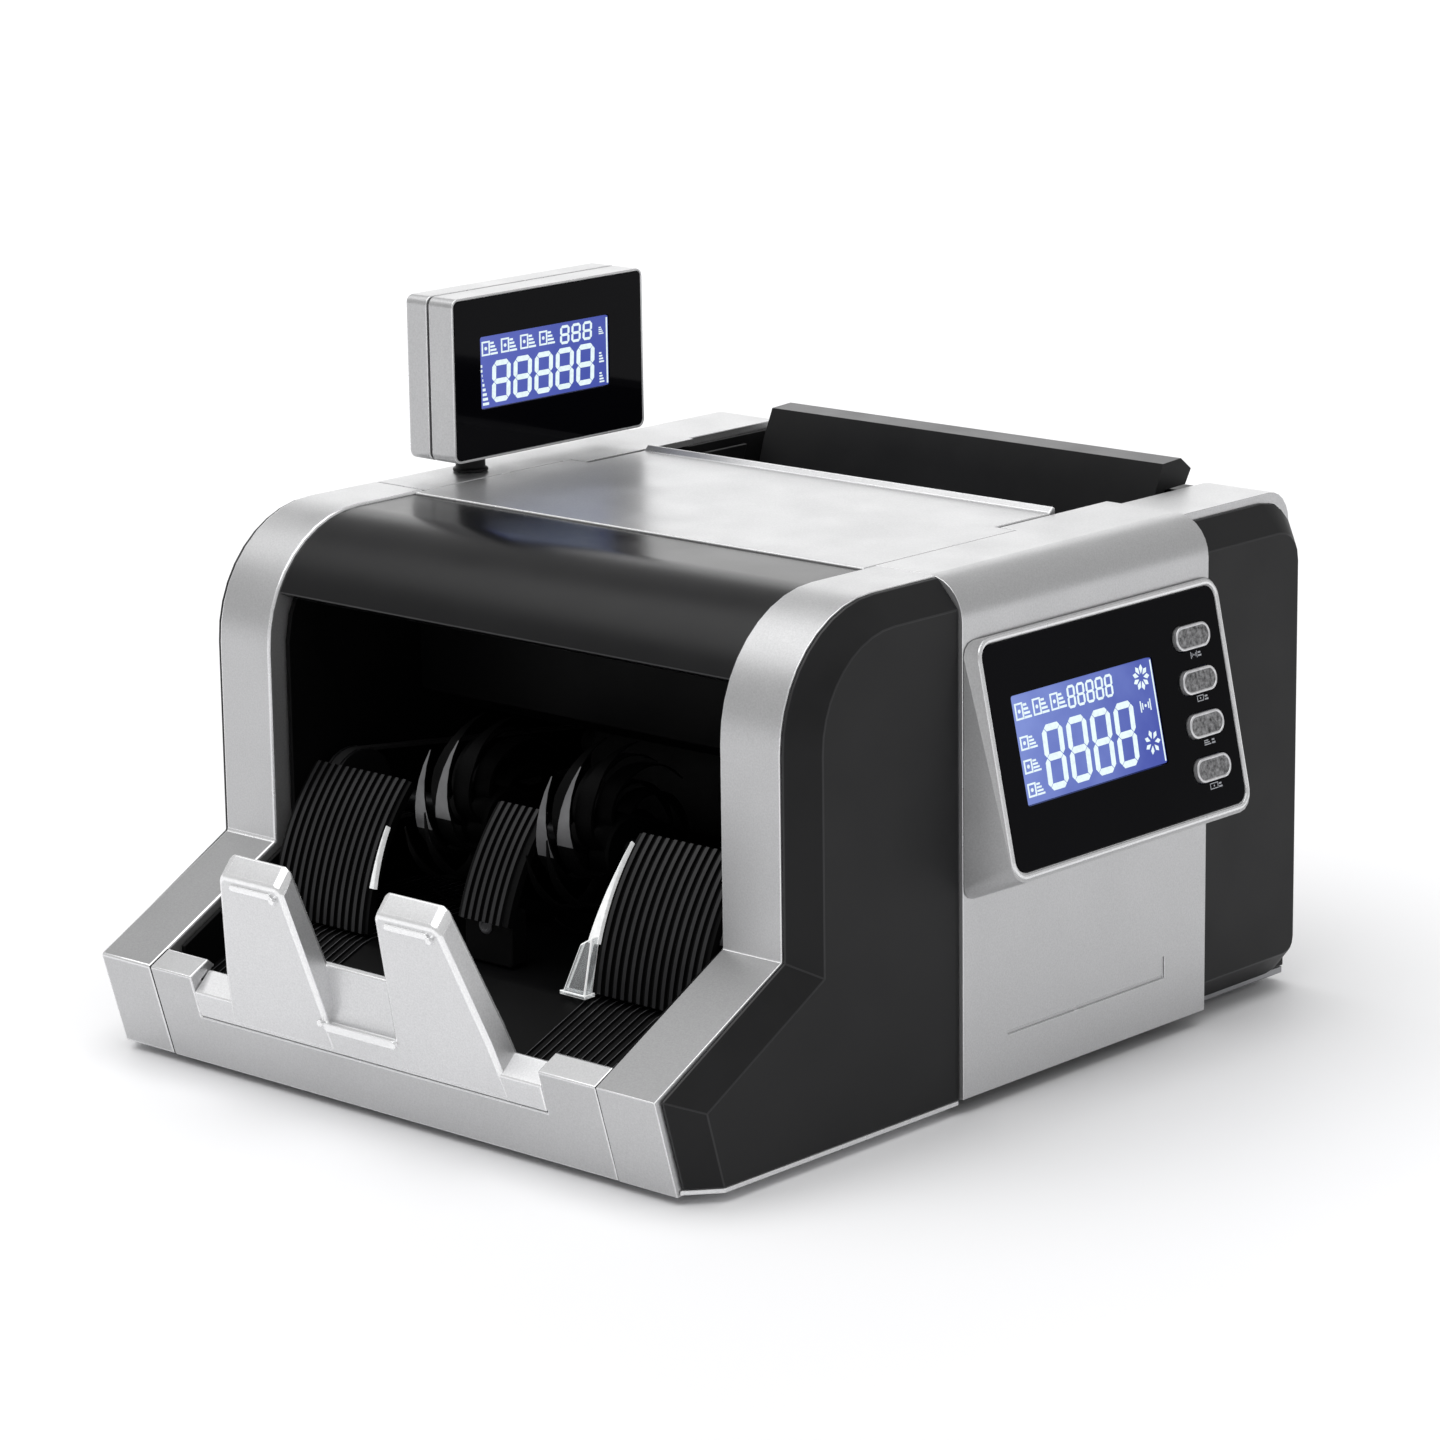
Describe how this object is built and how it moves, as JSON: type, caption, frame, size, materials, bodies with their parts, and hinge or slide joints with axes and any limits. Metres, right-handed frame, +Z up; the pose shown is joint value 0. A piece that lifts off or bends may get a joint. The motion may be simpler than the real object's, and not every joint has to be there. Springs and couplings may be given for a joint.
{
  "type": "banknote counter",
  "caption": "Desktop banknote counter with a top hopper, finger stacker in front, a tilted control panel on one side and a swivelling customer display on top.",
  "frame": {"origin": "centre of the whole object's bounding box in plan, on the plane of the rubber feet", "axes": "+Z up, +Y from the stacker opening towards the rear cover, +X towards the control panel"},
  "size_m": [0.3002, 0.3458, 0.2464],
  "materials": {
    "silver_paint": "satin metallic silver paint on moulded plastic",
    "black_plastic": "fine satin moulded",
    "button_silver": "satin chrome plating",
    "black_glass": "high gloss acrylic window",
    "lcd_blue": "backlit blue display",
    "rubber": "matte",
    "chassis_steel": "zinc plated, blackened cheeks",
    "bright_steel": "ground",
    "board_green": "solder mask",
    "clear_plastic": "polished clear moulding",
    "black_nylon": "matte moulded"
  },
  "bodies": {
    "chassis": {"base_pan": "chassis_steel", "foot_front_left": "rubber", "foot_front_right": "rubber", "foot_rear_left": "rubber", "foot_rear_right": "rubber", "rail_left": "silver_paint", "rail_right": "silver_paint", "front_bar": "silver_paint", "stacker_plate": "silver_paint", "front_hood": "black_plastic", "side_panel_front_left": "black_plastic", "side_panel_front_right": "black_plastic", "side_panel_rear_left": "black_plastic", "side_panel_rear_right": "black_plastic", "centre_shell": "silver_paint", "top_strip_left": "silver_paint", "top_strip_right": "silver_paint", "rear_cover": "black_plastic", "power_inlet": "black_nylon", "hopper_tray": "black_plastic", "pocket_floor": "black_plastic", "pocket_guide_left": "black_plastic", "pocket_guide_middle": "black_plastic", "pocket_guide_right": "black_plastic", "frame_plate_left": "chassis_steel", "frame_plate_right": "chassis_steel", "sensor_block": "clear_plastic", "transport_guide": "black_nylon", "upper_guide": "black_nylon", "motor": "chassis_steel", "drive_belt": "rubber", "stacker_belt": "rubber", "circuit_board": "board_green", "power_supply": "chassis_steel", "panel_bezel": "silver_paint", "panel_glass": "black_glass", "panel_lcd": "lcd_blue"},
    "top_lid": {"top_lid": "silver_paint"},
    "hopper_flap": {"hopper_flap": "black_plastic"},
    "note_guide_right": {"note_guide_right": "black_plastic"},
    "note_guide_left": {"note_guide_left": "black_plastic"},
    "customer_display": {"display_neck": "black_nylon", "display_back": "silver_paint", "display_front": "silver_paint", "display_glass": "black_glass", "display_lcd": "lcd_blue"},
    "button_1": {"button_1": "button_silver"},
    "button_2": {"button_2": "button_silver"},
    "button_3": {"button_3": "button_silver"},
    "button_4": {"button_4": "button_silver"},
    "power_rocker": {"power_switch": "black_nylon"},
    "drive_rotor": {"drive_roller": "rubber", "drive_pulley": "black_nylon"},
    "stacker_rotor": {"stacker_shaft": "bright_steel", "stacker_pulley": "black_nylon", "impeller_left": "rubber", "impeller_right": "rubber"},
    "pickup_rotor": {"pickup_roller": "rubber"},
    "separation_rotor": {"separation_roller": "rubber"},
    "motor_rotor": {"motor_pulley": "black_nylon"}
  },
  "joints": [
    {"name": "lid_hinge", "type": "hinge", "parent": "chassis", "child": "top_lid", "pos_m": [-0.00913, -0.02606, 0.18], "axis": [1, 0, 0], "range_deg": [0, 55]},
    {"name": "flap_tilt", "type": "hinge", "parent": "chassis", "child": "hopper_flap", "pos_m": [-0.00913, 0.12094, 0.107], "axis": [-1, 0, 0], "range_deg": [-28, 0]},
    {"name": "guide_right_slide", "type": "slide", "parent": "chassis", "child": "note_guide_right", "axis": [-1, 0, 0], "range_m": [0, 0.03]},
    {"name": "guide_left_slide", "type": "slide", "parent": "chassis", "child": "note_guide_left", "axis": [1, 0, 0], "range_m": [0, 0.03]},
    {"name": "display_swivel", "type": "hinge", "parent": "chassis", "child": "customer_display", "pos_m": [-0.12643, 0.01244, 0.181], "axis": [0, 0, -1], "range_deg": [-90, 0]},
    {"name": "button_1_press", "type": "slide", "parent": "chassis", "child": "button_1", "axis": [-0.978, 0, -0.2086], "range_m": [0, 0.0008], "stiffness_N_per_m": 200},
    {"name": "button_2_press", "type": "slide", "parent": "chassis", "child": "button_2", "axis": [-0.978, 0, -0.2086], "range_m": [0, 0.0008], "stiffness_N_per_m": 200},
    {"name": "button_3_press", "type": "slide", "parent": "chassis", "child": "button_3", "axis": [-0.978, 0, -0.2086], "range_m": [0, 0.0008], "stiffness_N_per_m": 200},
    {"name": "button_4_press", "type": "slide", "parent": "chassis", "child": "button_4", "axis": [-0.978, 0, -0.2086], "range_m": [0, 0.0008], "stiffness_N_per_m": 200},
    {"name": "rocker_tip", "type": "hinge", "parent": "chassis", "child": "power_rocker", "pos_m": [-0.10513, 0.16594, 0.045], "axis": [-1, 0, 0], "range_deg": [0, 12]},
    {"name": "drive_spin", "type": "hinge", "parent": "chassis", "child": "drive_rotor", "pos_m": [-0.00913, 0.05494, 0.075], "axis": [1, 0, 0], "continuous": true},
    {"name": "stacker_spin", "type": "hinge", "parent": "chassis", "child": "stacker_rotor", "pos_m": [-0.00913, -0.07006, 0.083], "axis": [1, 0, 0], "continuous": true},
    {"name": "pickup_spin", "type": "hinge", "parent": "chassis", "child": "pickup_rotor", "pos_m": [-0.00913, 0.08594, 0.118], "axis": [1, 0, 0], "continuous": true},
    {"name": "separation_spin", "type": "hinge", "parent": "chassis", "child": "separation_rotor", "pos_m": [-0.00913, 0.09194, 0.075], "axis": [1, 0, 0], "continuous": true},
    {"name": "motor_spin", "type": "hinge", "parent": "chassis", "child": "motor_rotor", "pos_m": [-0.00913, 0.00494, 0.029], "axis": [1, 0, 0], "continuous": true}
  ],
  "couplings": [
    {"joint": "stacker_spin", "follows": "drive_spin", "ratio": 0.5},
    {"joint": "pickup_spin", "follows": "drive_spin", "ratio": 1},
    {"joint": "motor_spin", "follows": "drive_spin", "ratio": 2.2857},
    {"joint": "guide_left_slide", "follows": "guide_right_slide", "ratio": 1}
  ]
}
